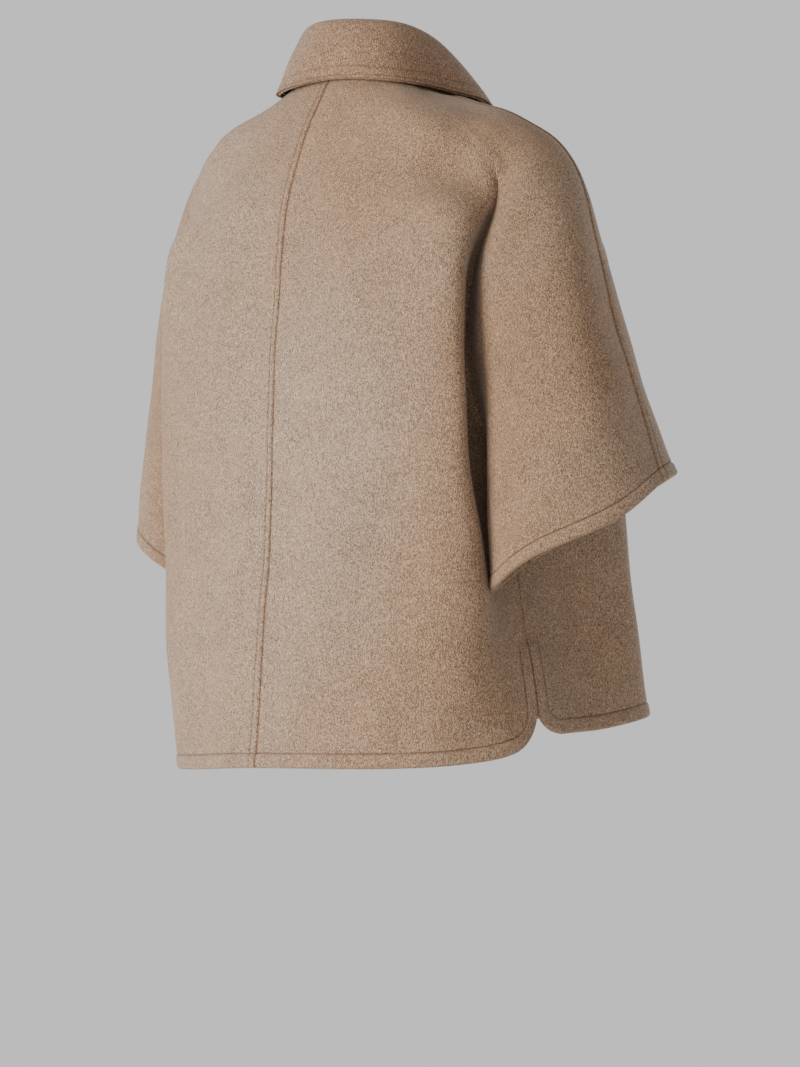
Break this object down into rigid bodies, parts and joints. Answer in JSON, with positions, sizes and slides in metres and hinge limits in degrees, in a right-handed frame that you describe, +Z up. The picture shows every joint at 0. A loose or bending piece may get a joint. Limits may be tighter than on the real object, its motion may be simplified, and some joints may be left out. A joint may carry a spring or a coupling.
{
  "type": "wool cape",
  "caption": "Hip-length wool cape with a turned-down collar, wide half sleeves cut in one with the body, a centre back seam and side vents, in the form it has when worn.",
  "frame": {"origin": "middle of the base of the neck, where the wearer's shoulders hold the garment", "axes": "+Z up, the front looks along -Y, the wearer's right is -X"},
  "size_m": [0.5986, 0.3311, 0.6506],
  "materials": {
    "wool": "brushed matt",
    "collar_wool": "brushed matt"
  },
  "bodies": {
    "root": {"back_right": "wool", "front_right": "wool", "back_left": "wool", "front_left": "wool", "collar_stand": "collar_wool", "collar_leaf": "collar_wool"}
  },
  "joints": []
}
